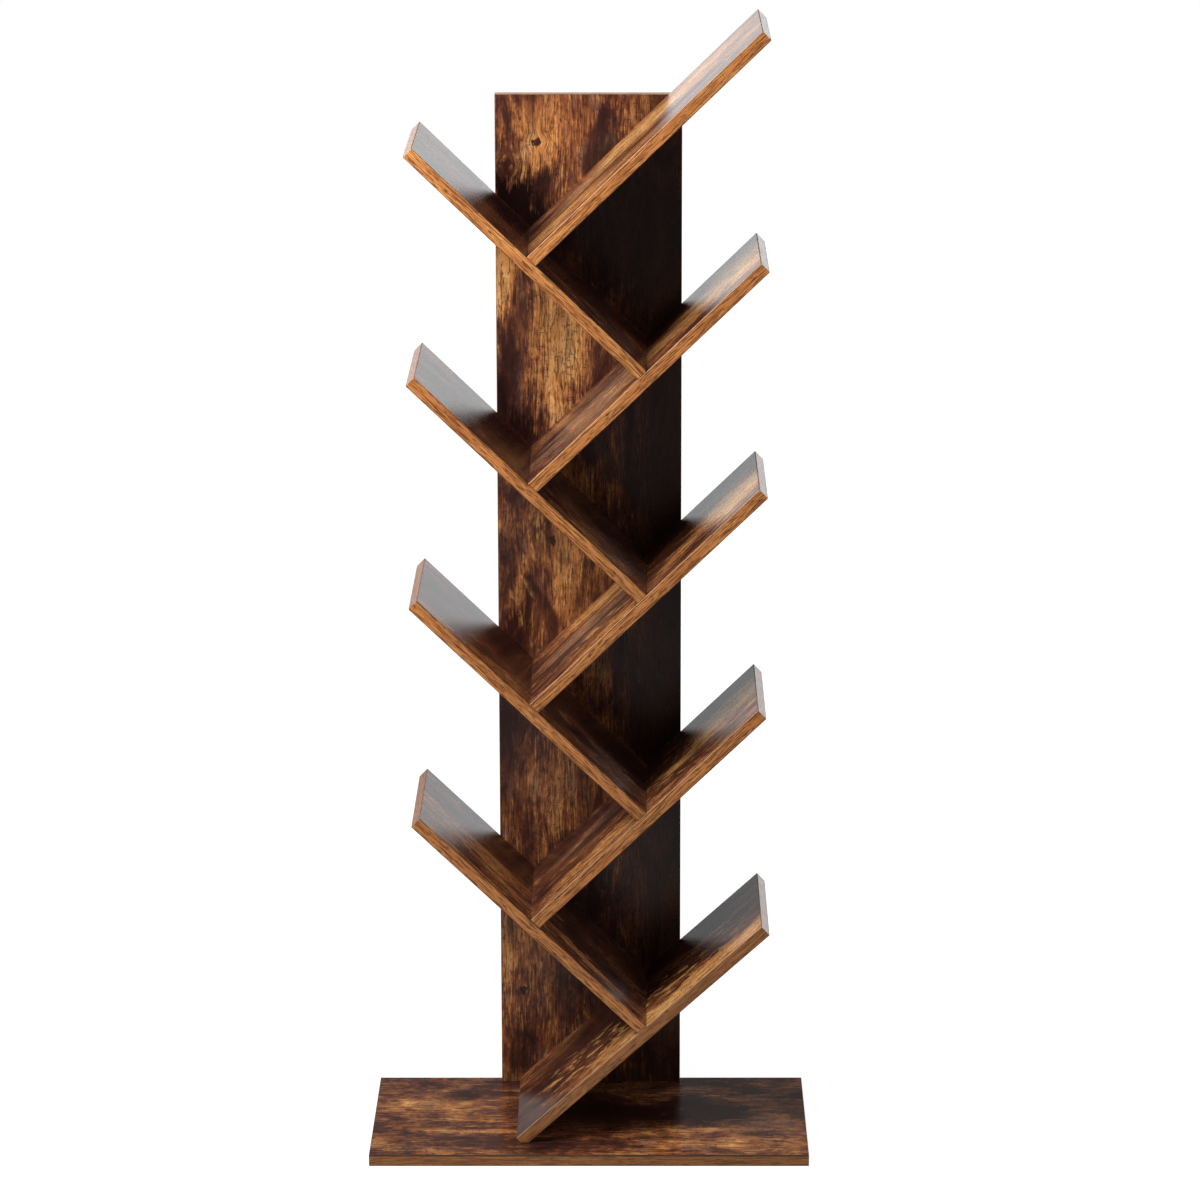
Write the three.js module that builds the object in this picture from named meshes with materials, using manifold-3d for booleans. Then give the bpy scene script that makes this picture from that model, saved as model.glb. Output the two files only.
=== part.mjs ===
// A tree shaped bookshelf: a base board, one tall back panel as the trunk, and nine inclined shelf boards.
// The shelves lean to the right and to the left in turn, and each one stands on the board beneath it.
// Millimetres, +Z up. The front faces -Y, and the origin is on the floor under the middle of the base.
import * as THREE from "three";
import { mergeVertices } from "three/addons/utils/BufferGeometryUtils.js";
import Module from "manifold-3d";

const wasm = await Module();
wasm.setup();

// Driving sizes of the boards
const boardThickness = 15;
const baseWidth = 550;
const baseDepth = 270;
const panelWidth = 232;
const shelfLength = 390;
const bottomShelfLength = 415;
const shelfSetback = 40;
const leftShelfCount = 4;

// Where the zigzag stands: angles from the floor, and how far its corners lie from the middle
const shelfAngle = THREE.MathUtils.degToRad(44);
const bottomShelfAngle = THREE.MathUtils.degToRad(42.4);
const cornerOffset = 72;
const footOffset = 76;
const heelLength = 7.5;

// The seam left between a sawn board end and the face it stands on, and round a fastener in its hole
const seam = 0.3;
const holeClearance = 0.3;
const cutOverrun = 2;

// Connecting screws, driven through one board into the edge or the end of the next
const connector = {
  length: 50,
  headRadius: 4,
  headHeight: 2.5,
  headSink: 0.5,
  neckRadius: 2.8,
  neckLength: 15,
  threadRadius: 2.4,
  tipLength: 3,
  socketAcrossFlats: 4,
  socketDepth: 2,
};

// Short wood screws, driven up through the base into the foot of the bottom shelf
const footScrew = {
  length: 25,
  headRadius: 3.6,
  headHeight: 2.2,
  headSink: 0.5,
  neckRadius: 1.75,
  neckLength: 12,
  threadRadius: 1.6,
  tipLength: 4,
  slotLength: 3.6,
  slotWidth: 0.9,
  slotDepth: 1.3,
};

// Beech dowels that line the boards up
const dowel = {
  length: 30,
  radius: 3,
  chamfer: 0.8,
  depthInFace: 10,
};

// Where the fasteners sit
const nearPanelScrew = 40;
const farPanelScrew = 200;
const panelAboveTopScrew = 32.3;
const jointScrewFromFront = 45;
const jointDowelFromBack = 75;
const baseScrewSpacing = 160;
const baseDowelSpacing = 80;
const roundSides = 10;
const socketSides = 6;

// Planes that the driving sizes give
const baseBack = baseDepth / 2;
const panelFront = baseBack - boardThickness;
const shelfFront = shelfSetback - baseBack;
const shelfDepth = panelFront - shelfFront;
const halfThickness = boardThickness / 2;

// Corners of the zigzag that the driving sizes give, on the shelves' upper faces at their lower ends.
// The bottom shelf's corner lies over the place where its lower face meets the base.
const bottomCorner = {
  x: -footOffset - boardThickness * Math.sin(bottomShelfAngle),
  z: boardThickness + seam + boardThickness * Math.cos(bottomShelfAngle),
};
const firstCornerHeight = bottomCorner.z + (cornerOffset - bottomCorner.x) * Math.tan(bottomShelfAngle);
const cornerRise = 2 * cornerOffset * Math.tan(shelfAngle);
const topCornerHeight = firstCornerHeight + (2 * leftShelfCount - 1) * cornerRise;

// The panel ends a little above the highest screw that holds the top shelf
const topScrewHeight = topCornerHeight + farPanelScrew * Math.sin(shelfAngle)
  - halfThickness * Math.cos(shelfAngle);
const panelHeight = topScrewHeight + panelAboveTopScrew - boardThickness;

const laminate = { roughness: 0.4, metalness: 0 };
const materials = {
  board: new THREE.MeshStandardMaterial({ color: 0x6f4528, ...laminate }),
  steel: new THREE.MeshStandardMaterial({ color: 0xb9bcc0, roughness: 0.35, metalness: 1 }),
  beech: new THREE.MeshStandardMaterial({ color: 0xd2ab7c, roughness: 0.7, metalness: 0 }),
};

// Fasteners are drawn along their own Y axis
const fastenerAxis = new THREE.Vector3(0, 1, 0);

// Closed solids for cutting, and the way back to a mesh
function toSolid(geometry) {
  const bare = geometry.clone();
  bare.deleteAttribute("normal");
  bare.deleteAttribute("uv");
  const merged = mergeVertices(bare);
  const corners = merged.index.array;
  const faces = [];
  for (let first = 0; first < corners.length; first += 3) {
    const [a, b, c] = corners.slice(first, first + 3);
    // A lathe's faces beside its axis have shrunk to a line and are left out
    if (a !== b && b !== c && c !== a) {
      faces.push(a, b, c);
    }
  }
  return new wasm.Manifold(new wasm.Mesh({
    numProp: 3,
    vertProperties: new Float32Array(merged.attributes.position.array),
    triVerts: new Uint32Array(faces),
  }));
}

function toGeometry(solid) {
  const mesh = solid.getMesh();
  const geometry = new THREE.BufferGeometry();
  geometry.setAttribute("position", new THREE.BufferAttribute(mesh.vertProperties, mesh.numProp));
  geometry.setIndex(new THREE.BufferAttribute(mesh.triVerts, 1));
  geometry.computeVertexNormals();
  return geometry;
}

function lathe(profile) {
  return new THREE.LatheGeometry(profile.map(([r, y]) => new THREE.Vector2(r, y)), roundSides);
}

// A screw along +Y from the face it is driven through, grown by a clearance when it is the hole
function screwProfile(size, grow) {
  const neckStart = size.headSink + size.headHeight;
  const neckEnd = size.headSink + size.neckLength;
  const tipStart = size.length - size.tipLength;
  return [
    [size.headRadius + grow, size.headSink],
    [size.neckRadius + grow, neckStart],
    [size.neckRadius + grow, neckEnd],
    [size.threadRadius + grow, neckEnd + grow],
    [size.threadRadius + grow, tipStart + grow],
    [0, size.length + grow],
  ];
}

function screwGeometry(size, recess) {
  const body = toSolid(lathe([[0, size.headSink], ...screwProfile(size, 0)]));
  return toGeometry(body.subtract(recess));
}

function screwHole(size) {
  const mouth = size.headRadius + holeClearance;
  return lathe([[0, -cutOverrun], [mouth, -cutOverrun], ...screwProfile(size, holeClearance)]);
}

// The six sided socket in a connecting screw's head
function hexSocket(size) {
  const radius = size.socketAcrossFlats / Math.sqrt(3);
  const height = size.socketDepth + size.headSink;
  const prism = new THREE.CylinderGeometry(radius, radius, height, socketSides);
  prism.translate(0, height / 2, 0);
  return toSolid(prism);
}

// The cross slot in a wood screw's head
function crossSlot(size) {
  const height = size.slotDepth + size.headSink;
  const arm = new THREE.BoxGeometry(size.slotLength, height, size.slotWidth);
  arm.translate(0, height / 2, 0);
  const acrossArm = new THREE.BoxGeometry(size.slotWidth, height, size.slotLength);
  acrossArm.translate(0, height / 2, 0);
  return toSolid(arm).add(toSolid(acrossArm));
}

function dowelGeometry() {
  const waist = dowel.radius - dowel.chamfer;
  const body = lathe([
    [0, 0],
    [waist, 0],
    [dowel.radius, dowel.chamfer],
    [dowel.radius, dowel.length - dowel.chamfer],
    [waist, dowel.length],
    [0, dowel.length],
  ]);
  return toGeometry(toSolid(body));
}

function dowelHole() {
  const radius = dowel.radius + holeClearance;
  const top = dowel.length + holeClearance;
  return lathe([[0, -holeClearance], [radius, -holeClearance], [radius, top], [0, top]]);
}

// The kinds of fastener: a shape, the hole it needs and its material
const kinds = {
  connector: {
    shape: screwGeometry(connector, hexSocket(connector)),
    hole: screwHole(connector),
    material: materials.steel,
  },
  footScrew: {
    shape: screwGeometry(footScrew, crossSlot(footScrew)),
    hole: screwHole(footScrew),
    material: materials.steel,
  },
  dowel: { shape: dowelGeometry(), hole: dowelHole(), material: materials.beech },
};

const bookshelf = new THREE.Group();
const boards = [];
const fasteners = [];

// A board is kept uncut until every fastener that passes through it is known
function addBoard(group, name, geometry) {
  const mesh = new THREE.Mesh(geometry, materials.board);
  mesh.name = name;
  group.add(mesh);
  boards.push(mesh);
  return mesh;
}

// A fastener starts at a point of its group and runs along a direction, through the boards it joins
function addFastener(group, name, kind, start, direction, joined) {
  const mesh = new THREE.Mesh(kinds[kind].shape, kinds[kind].material);
  mesh.name = name;
  mesh.position.copy(start);
  mesh.quaternion.setFromUnitVectors(fastenerAxis, direction);
  group.add(mesh);
  fasteners.push({ mesh, hole: kinds[kind].hole, joined });
}

// The base, with its rear edge flush with the panel's rear face
const baseGroup = new THREE.Group();
bookshelf.add(baseGroup);
const baseBox = new THREE.BoxGeometry(baseWidth, baseDepth, boardThickness);
baseBox.translate(0, 0, halfThickness);
const baseBoard = addBoard(baseGroup, "base_board", baseBox);

// The back panel stands on the base
const panelBox = new THREE.BoxGeometry(panelWidth, boardThickness, panelHeight);
panelBox.translate(0, panelFront + halfThickness, boardThickness + panelHeight / 2);
const backPanel = addBoard(bookshelf, "back_panel", panelBox);

const upward = new THREE.Vector3(0, 0, 1);
const forward = new THREE.Vector3(0, -1, 0);
for (const [side, sign] of [["left", -1], ["right", 1]]) {
  const screwStart = new THREE.Vector3(sign * baseScrewSpacing / 2, panelFront + halfThickness, 0);
  addFastener(baseGroup, `base_screw_${side}`, "connector", screwStart, upward, [baseBoard, backPanel]);
  const dowelStart = new THREE.Vector3(
    sign * baseDowelSpacing / 2,
    panelFront + halfThickness,
    boardThickness - dowel.depthInFace,
  );
  addFastener(baseGroup, `base_dowel_${side}`, "dowel", dowelStart, upward, [baseBoard, backPanel]);
}

// An outline in the plane of the shelf's side view, drawn forward from the panel to the shelf's front
function shelfGeometry(outline) {
  const shape = new THREE.Shape(outline.map(([along, above]) => new THREE.Vector2(along, above)));
  const geometry = new THREE.ExtrudeGeometry(shape, { depth: shelfDepth, bevelEnabled: false });
  geometry.rotateX(Math.PI / 2);
  geometry.translate(0, panelFront, 0);
  return geometry;
}

// A shelf's group has its origin on the upper face at the lower end, with X along the shelf.
// side is 1 for a shelf that rises to the right and -1 for one that rises to the left.
function addShelf(name, side, angle, corner, outline) {
  const group = new THREE.Group();
  group.position.set(corner.x, 0, corner.z);
  group.rotation.y = -side * angle;
  bookshelf.add(group);
  const mirrored = outline.map(([along, above]) => [side * along, above]);
  const mesh = addBoard(group, name, shelfGeometry(mirrored));
  for (const [place, along] of [["low", nearPanelScrew], ["high", farPanelScrew]]) {
    const start = new THREE.Vector3(side * along, baseBack, -halfThickness);
    const screwName = `panel_screw_${name.replace("shelf_", "")}_${place}`;
    addFastener(group, screwName, "connector", start, forward, [backPanel, mesh]);
  }
  return { name, side, angle, corner, group, mesh };
}

// The lower end of an upper shelf is sawn parallel to the face of the shelf that it stands on
function standingOutline(angle, angleBelow) {
  const meeting = angle + angleBelow;
  const endShift = boardThickness / Math.tan(meeting);
  const gap = seam / Math.sin(meeting);
  return [
    [gap, 0],
    [gap + endShift, -boardThickness],
    [shelfLength, -boardThickness],
    [shelfLength, 0],
  ];
}

// The screw and the dowel that hold a standing shelf's end, from the shelf beneath
function joinToShelfBelow(upper, lower) {
  const cornerAlong = Math.abs(upper.corner.x - lower.corner.x) / Math.cos(lower.angle);
  const middle = cornerAlong - halfThickness / Math.sin(upper.angle + lower.angle);
  const joined = [lower.mesh, upper.mesh];
  const label = upper.name.replace("shelf_", "");
  const screwStart = new THREE.Vector3(
    lower.side * middle,
    shelfFront + jointScrewFromFront,
    -boardThickness,
  );
  addFastener(lower.group, `joint_screw_${label}`, "connector", screwStart, upward, joined);
  const dowelStart = new THREE.Vector3(
    lower.side * middle,
    panelFront - jointDowelFromBack,
    -dowel.depthInFace,
  );
  addFastener(lower.group, `joint_dowel_${label}`, "dowel", dowelStart, upward, joined);
}

// The bottom shelf: its lower end is sawn square, and the corner that meets the base is sawn level
const heelDrop = boardThickness - heelLength * Math.tan(bottomShelfAngle);
const bottomOutline = [
  [-heelLength, 0],
  [-heelLength, -heelDrop],
  [0, -boardThickness],
  [bottomShelfLength - heelLength, -boardThickness],
  [bottomShelfLength - heelLength, 0],
];
const bottomShelf = addShelf(
  `shelf_right_${leftShelfCount + 1}`,
  1,
  bottomShelfAngle,
  bottomCorner,
  bottomOutline,
);

// Two short screws hold the foot, through the middle of its level cut
const footLevelWidth = heelLength / Math.cos(bottomShelfAngle);
const footPlaces = [["front", shelfFront + jointScrewFromFront], ["back", panelFront - jointDowelFromBack]];
for (const [place, y] of footPlaces) {
  const start = new THREE.Vector3(-footOffset - footLevelWidth / 2, y, 0);
  addFastener(baseGroup, `foot_screw_${place}`, "footScrew", start, upward, [baseBoard, bottomShelf.mesh]);
}

// The zigzag above: a left shelf stands on the right shelf beneath it, and a right shelf on that
let cornerHeight = firstCornerHeight;
let below = bottomShelf;
for (let number = leftShelfCount; number >= 1; number -= 1) {
  for (const [label, side] of [["left", -1], ["right", 1]]) {
    const corner = { x: -side * cornerOffset, z: cornerHeight };
    const outline = standingOutline(shelfAngle, below.angle);
    const shelf = addShelf(`shelf_${label}_${number}`, side, shelfAngle, corner, outline);
    joinToShelfBelow(shelf, below);
    cornerHeight += cornerRise;
    below = shelf;
  }
}

// Every board is cut by the holes of the fasteners that pass through it
bookshelf.updateMatrixWorld(true);
for (const board of boards) {
  const intoBoard = board.matrixWorld.clone().invert();
  let solid = toSolid(board.geometry);
  for (const { mesh, hole, joined } of fasteners) {
    if (joined.includes(board)) {
      const placed = hole.clone().applyMatrix4(mesh.matrixWorld).applyMatrix4(intoBoard);
      solid = solid.subtract(toSolid(placed));
    }
  }
  board.geometry = toGeometry(solid);
}

export default bookshelf;
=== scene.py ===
"""The finish of the tree shaped bookshelf: boards with rounded, banded edges, and their fasteners.

Metres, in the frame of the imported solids: the front faces -Y, +Z is up, and the origin is on the
floor under the middle of the base.
"""
import math

import bmesh
import bpy
from mathutils import Matrix, Vector


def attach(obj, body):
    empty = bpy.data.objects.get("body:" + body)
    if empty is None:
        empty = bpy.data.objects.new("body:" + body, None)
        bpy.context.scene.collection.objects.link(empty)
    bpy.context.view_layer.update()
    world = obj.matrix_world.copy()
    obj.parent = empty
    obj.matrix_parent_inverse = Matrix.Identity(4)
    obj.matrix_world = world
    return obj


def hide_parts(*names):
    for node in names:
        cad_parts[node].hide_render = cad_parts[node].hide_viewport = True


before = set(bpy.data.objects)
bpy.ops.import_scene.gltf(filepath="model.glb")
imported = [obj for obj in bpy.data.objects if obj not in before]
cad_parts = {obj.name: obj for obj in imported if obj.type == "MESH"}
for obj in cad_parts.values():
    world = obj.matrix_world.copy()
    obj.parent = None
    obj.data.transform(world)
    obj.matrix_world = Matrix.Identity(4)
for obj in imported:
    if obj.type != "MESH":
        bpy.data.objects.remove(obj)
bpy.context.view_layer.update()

# Sizes of the boards
BOARD = 0.015
BASE_WIDTH = 0.550
BASE_DEPTH = 0.270
PANEL_WIDTH = 0.232
SHELF_LENGTH = 0.390
BOTTOM_SHELF_LENGTH = 0.415
SHELF_SETBACK = 0.040
SHELF_ANGLE = math.radians(44)
BOTTOM_ANGLE = math.radians(42.4)
CORNER_OFFSET = 0.072
FOOT_OFFSET = 0.076
HEEL = 0.0075
SEAM = 0.0003
EDGE_ROUNDING = 0.0007

# Where the fasteners sit
PANEL_SCREWS = {"low": 0.040, "high": 0.200}
PANEL_ABOVE_TOP_SCREW = 0.0323
JOINT_SCREW_FROM_FRONT = 0.045
JOINT_DOWEL_FROM_BACK = 0.075
BASE_SCREW_SPACING = 0.160
BASE_DOWEL_SPACING = 0.080
DOWEL_IN_FACE = 0.010
HOLE_CLEARANCE = 0.0003

PANEL_BACK = BASE_DEPTH / 2
PANEL_FRONT = PANEL_BACK - BOARD
SHELF_FRONT = SHELF_SETBACK - PANEL_BACK


class Signal:
    """A socket of a node tree. Arithmetic on it adds Math nodes."""

    def __init__(self, tree, socket):
        self.tree = tree
        self.socket = socket

    def __add__(self, other):
        return self.tree.maths("ADD", self, other)

    def __radd__(self, other):
        return self.tree.maths("ADD", other, self)

    def __sub__(self, other):
        return self.tree.maths("SUBTRACT", self, other)

    def __rsub__(self, other):
        return self.tree.maths("SUBTRACT", other, self)

    def __mul__(self, other):
        return self.tree.maths("MULTIPLY", self, other)

    def __rmul__(self, other):
        return self.tree.maths("MULTIPLY", other, self)

    def __truediv__(self, other):
        return self.tree.maths("DIVIDE", self, other)


class Tree:
    """A node tree, of a material, the world or a modifier."""

    def __init__(self, tree):
        self.tree = tree

    def node(self, kind, settings=None, sockets=None, out=0):
        """One more node. A socket takes a constant, a signal or a list of signals."""
        made = self.tree.nodes.new(kind)
        for name, value in (settings or {}).items():
            if name == "stops":
                self.set_stops(made.color_ramp, value)
            else:
                setattr(made, name, value)
        for name, given in (sockets or {}).items():
            for value in given if isinstance(given, list) else [given]:
                if isinstance(value, Signal):
                    self.tree.links.new(value.socket, made.inputs[name])
                else:
                    made.inputs[name].default_value = value
        return Signal(self, made.outputs[out]) if made.outputs else made

    @staticmethod
    def set_stops(ramp, stops):
        while len(ramp.elements) < len(stops):
            ramp.elements.new(1.0)
        for element, (position, color) in zip(ramp.elements, stops):
            element.position = position
            element.color = (*color, 1.0)

    def maths(self, operation, *values):
        return self.node("ShaderNodeMath", {"operation": operation}, dict(enumerate(values)))

    def smooth(self, value, start, end, most=1.0):
        """0 where the value is at start, most where it is at end, and a soft step between."""
        return self.node(
            "ShaderNodeMapRange",
            {"interpolation_type": "SMOOTHSTEP"},
            {"Value": value, "From Min": start, "From Max": end, "To Max": most},
        )

    def greater(self, first, second):
        return self.maths("MAXIMUM", first, second)

    def lesser(self, first, second):
        return self.maths("MINIMUM", first, second)

    def mix(self, factor, first, second):
        colors = {0: factor, 6: first, 7: second}
        return self.node("ShaderNodeMix", {"data_type": "RGBA"}, colors, out=2)

    def ramp(self, value, stops):
        return self.node("ShaderNodeValToRGB", {"stops": stops}, {0: value})

    def parts(self, vector):
        """The three numbers of a vector."""
        first = self.node("ShaderNodeSeparateXYZ", None, {0: vector})
        node = first.socket.node
        return [Signal(self, node.outputs[i]) for i in range(3)]

    def vector(self, x, y, z):
        return self.node("ShaderNodeCombineXYZ", None, {0: x, 1: y, 2: z})

    def length(self, vector):
        return self.node("ShaderNodeVectorMath", {"operation": "LENGTH"}, {0: vector}, out=1)

    def noise(self, place, scale=1.0, detail=2.0, roughness=0.5, distortion=0.0):
        """Soft noise about 0.5, of scale waves to each unit of the place."""
        return self.node("ShaderNodeTexNoise", None, {
            "Vector": place, "Scale": scale, "Detail": detail, "Roughness": roughness,
            "Distortion": distortion,
        })


def shader_tree(owner):
    """The emptied node tree of a material or of the world."""
    owner.use_nodes = True
    owner.node_tree.nodes.clear()
    return Tree(owner.node_tree)


def new_material(name):
    material = bpy.data.materials.new(name)
    return material, shader_tree(material)


def rgb(red, green, blue):
    """A display colour of 0 to 255, as the linear colour that a shader takes."""
    linear = []
    for value in (red, green, blue):
        share = value / 255
        linear.append(share / 12.92 if share <= 0.04045 else ((share + 0.055) / 1.055) ** 2.4)
    return tuple(linear)


def rgba(red, green, blue):
    return (*rgb(red, green, blue), 1.0)


# Colours of the laminate's print; the soot colours also paint shade, and taupe also a sheen
LAMINATE_TONES = [
    (0.14, rgb(44, 27, 25)),
    (0.34, rgb(87, 49, 36)),
    (0.52, rgb(140, 82, 49)),
    (0.70, rgb(196, 131, 74)),
    (0.92, rgb(236, 182, 114)),
]
# Greyish print, and also a painted sheen
TAUPE_AND_SHEEN = rgba(124, 98, 86)
GLINT = rgba(236, 176, 100)
FLAME = rgba(246, 182, 106)
RING = rgba(56, 32, 25)
HAIR = rgba(56, 33, 26)
SPECK = rgba(48, 28, 23)
CRACK = rgba(60, 35, 27)
# Soot colours: dark smoky print, and also painted shade where the shelves shade the boards
SOOT_AND_SHADE = rgba(45, 20, 17)
WARM_SOOT_AND_SHADE = rgba(69, 34, 27)
DEEPEST_SOOT_AND_SHADE = rgba(26, 9, 8)

# Colours of the edge bands' print, and a painted highlight
BAND_TONES = [
    (0.20, rgb(174, 103, 54)),
    (0.50, rgb(212, 136, 75)),
    (0.80, rgb(236, 164, 96)),
]
BAND_RING = rgba(104, 56, 27)
BAND_LINE = rgba(98, 53, 26)
BAND_DOT = rgba(66, 35, 20)
BAND_BORDER = rgba(74, 42, 26)
LOW_BAND = rgba(124, 84, 54)
BASE_SEAM = rgba(44, 31, 26)
END_BAND = rgba(126, 96, 82)
# A painted highlight on the right shelves' upper front edges
LIT_EDGE = rgba(232, 190, 146)

# Roughness of the laminate and of the bands
SEMI_GLOSS = 0.23

# Each board's place in the pattern of the wood print. The third number tells the boards apart. It
# goes up by 2 from board to board, so the right shelves' numbers are 4 apart.
GRAIN_SHIFTS = {
    "base_board": (4.30, 2.15, 1.0),
    "back_panel": (0.00, 0.00, 3.0),
    "shelf_right_5": (7.20, 1.40, 5.0),
    "shelf_left_4": (9.10, 3.30, 7.0),
    "shelf_right_4": (11.6, 0.70, 9.0),
    "shelf_left_3": (13.2, 2.90, 11.0),
    "shelf_right_3": (15.5, 1.80, 13.0),
    "shelf_left_2": (17.9, 4.20, 15.0),
    "shelf_right_2": (19.4, 3.60, 17.0),
    "shelf_left_1": (21.8, 0.20, 19.0),
    "shelf_right_1": (23.3, 2.50, 21.0),
}

# Where the wood is darkest and brightest: a board, metres along its grain and across it, the
# half length and half width of the oval, and its strength. Many dark ovals are painted shade: on
# the panel's right half under the shelves, on the left shelves' rear halves by the panel and on
# the base beside the bottom shelf's foot. The ovals on the panel just above the left shelves are
# partly painted shadow and partly print, and the others are dark print.
DARK_AND_SHADED_SPOTS = [
    ("back_panel", 1.172, -0.100, 0.062, 0.072, 1.10),
    ("back_panel", 1.148, -0.062, 0.044, 0.056, 1.04),
    ("back_panel", 1.278, 0.019, 0.026, 0.009, 0.85),
    ("back_panel", 1.052, -0.080, 0.036, 0.012, 0.85),
    ("back_panel", 0.935, -0.108, 0.090, 0.016, 0.95),
    ("back_panel", 0.880, -0.090, 0.030, 0.044, 0.97),
    ("back_panel", 0.988, 0.033, 0.020, 0.011, 0.80),
    ("back_panel", 0.620, -0.090, 0.040, 0.026, 0.90),
    ("back_panel", 0.672, 0.014, 0.060, 0.048, 0.66),
    ("back_panel", 0.480, -0.105, 0.070, 0.020, 0.70),
    ("back_panel", 1.224, -0.100, 0.046, 0.030, 0.66),
    # Painted shade: the shelves shade the right half of the panel
    ("back_panel", 0.660, 0.115, 0.860, 0.085, 0.94),
    ("back_panel", 1.180, 0.090, 0.200, 0.070, 0.92),
    # Painted shade on the left shelves' rear halves, by the panel
    ("shelf_left_1", -0.220, 0.060, 0.110, 0.090, 0.96),
    ("shelf_left_1", -0.110, 0.058, 0.150, 0.075, 0.84),
    ("shelf_left_2", -0.230, 0.060, 0.110, 0.090, 0.92),
    ("shelf_left_2", -0.070, 0.062, 0.120, 0.070, 0.56),
    ("shelf_left_3", -0.230, 0.060, 0.110, 0.090, 0.92),
    ("shelf_left_3", -0.060, 0.062, 0.120, 0.070, 0.80),
    ("shelf_left_4", -0.240, 0.075, 0.110, 0.065, 0.86),
    ("shelf_left_4", -0.060, 0.072, 0.150, 0.062, 0.68),
    ("shelf_left_4", -0.115, -0.082, 0.045, 0.008, 0.70),
    ("shelf_right_5", 0.250, 0.095, 0.240, 0.045, 0.90),
    ("shelf_right_5", 0.000, -0.030, 0.060, 0.120, 0.80),
    ("shelf_right_5", 0.120, 0.075, 0.120, 0.050, 0.75),
    ("shelf_right_5", 0.288, -0.015, 0.034, 0.009, 0.90),
    ("shelf_right_5", 0.350, 0.000, 0.080, 0.016, 0.55),
    ("shelf_right_4", 0.120, 0.020, 0.150, 0.018, 0.80),
    ("shelf_right_4", 0.060, 0.075, 0.060, 0.040, 0.75),
    ("shelf_right_4", 0.090, -0.030, 0.080, 0.010, 0.80),
    ("shelf_right_4", 0.300, -0.055, 0.110, 0.034, 0.50),
    ("shelf_right_4", 0.340, 0.100, 0.120, 0.036, 0.80),
    ("shelf_right_3", 0.255, 0.080, 0.060, 0.040, 0.80),
    ("shelf_right_3", 0.090, -0.005, 0.110, 0.011, 0.80),
    ("shelf_right_3", 0.280, -0.078, 0.060, 0.012, 0.70),
    ("shelf_right_3", 0.250, 0.000, 0.030, 0.008, 0.85),
    ("shelf_right_3", 0.330, 0.094, 0.120, 0.042, 0.70),
    ("shelf_right_2", 0.255, 0.090, 0.060, 0.035, 0.80),
    ("shelf_right_2", 0.300, -0.074, 0.060, 0.011, 0.85),
    ("shelf_right_1", 0.230, -0.026, 0.130, 0.024, 0.90),
    ("shelf_right_1", 0.120, -0.006, 0.110, 0.016, 0.72),
    # Painted shade on the base between the bottom shelf's foot and the panel
    ("base_board", 0.030, 0.010, 0.130, 0.075, 0.95),
    ("base_board", 0.165, 0.012, 0.060, 0.040, 0.85),
    ("base_board", 0.212, -0.067, 0.026, 0.015, 0.80),
    ("base_board", -0.180, -0.035, 0.034, 0.013, 0.75),
    ("base_board", -0.170, 0.068, 0.024, 0.022, 0.85),
    ("base_board", -0.120, 0.072, 0.050, 0.013, 0.60),
]
GOLDEN_SPOTS = [
    ("back_panel", 1.250, -0.062, 0.060, 0.040, 1.0),
    ("back_panel", 1.300, 0.058, 0.080, 0.038, 0.9),
    ("back_panel", 0.990, -0.038, 0.100, 0.042, 1.4),
    ("back_panel", 1.085, -0.108, 0.060, 0.014, 1.4),
    ("back_panel", 0.690, -0.082, 0.050, 0.012, 0.8),
    ("back_panel", 0.715, -0.020, 0.060, 0.050, 0.3),
    ("back_panel", 0.400, -0.038, 0.060, 0.024, 0.7),
    ("back_panel", 0.150, -0.070, 0.090, 0.046, 0.6),
    ("back_panel", 0.175, -0.108, 0.050, 0.014, 1.1),
    ("shelf_right_5", 0.300, -0.072, 0.200, 0.030, 1.4),
    ("shelf_right_5", 0.350, 0.036, 0.090, 0.010, 1.2),
    ("shelf_right_4", 0.120, -0.060, 0.120, 0.030, 0.9),
    ("shelf_right_4", 0.350, 0.032, 0.090, 0.046, 2.4),
    ("shelf_right_4", 0.262, -0.006, 0.040, 0.016, 1.3),
    ("shelf_right_4", 0.225, -0.068, 0.030, 0.010, 1.1),
    ("shelf_right_3", 0.355, -0.012, 0.080, 0.056, 2.2),
    ("shelf_right_3", 0.280, -0.030, 0.060, 0.020, 1.0),
    ("shelf_right_3", 0.120, -0.070, 0.080, 0.020, 0.6),
    ("shelf_right_3", 0.125, 0.088, 0.080, 0.026, 1.3),
    ("shelf_right_2", 0.350, 0.010, 0.100, 0.090, 2.0),
    ("shelf_right_2", 0.260, 0.000, 0.080, 0.050, 1.0),
    ("shelf_right_2", 0.110, -0.010, 0.090, 0.050, 1.0),
    ("shelf_right_1", 0.220, 0.066, 0.180, 0.066, 1.7),
    ("shelf_right_1", 0.120, -0.020, 0.150, 0.080, 1.1),
    ("shelf_right_1", 0.330, -0.020, 0.100, 0.050, 1.1),
    ("shelf_left_2", -0.080, -0.060, 0.080, 0.035, 0.9),
    ("shelf_left_3", -0.220, -0.070, 0.130, 0.026, 0.8),
    ("shelf_left_4", -0.150, -0.060, 0.160, 0.040, 0.6),
    ("shelf_left_4", -0.105, -0.056, 0.075, 0.014, 1.4),
    ("base_board", -0.200, -0.010, 0.110, 0.120, 0.35),
    ("base_board", 0.210, -0.020, 0.080, 0.130, 0.5),
    ("base_board", -0.262, -0.100, 0.024, 0.036, 1.0),
    ("base_board", -0.225, 0.045, 0.046, 0.009, 1.2),
    ("base_board", -0.150, -0.055, 0.100, 0.008, 1.1),
    ("base_board", 0.150, -0.052, 0.080, 0.012, 1.1),
    ("base_board", 0.250, -0.100, 0.034, 0.034, 0.9),
    ("base_board", 0.240, -0.020, 0.034, 0.020, 0.8),
]
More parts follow.
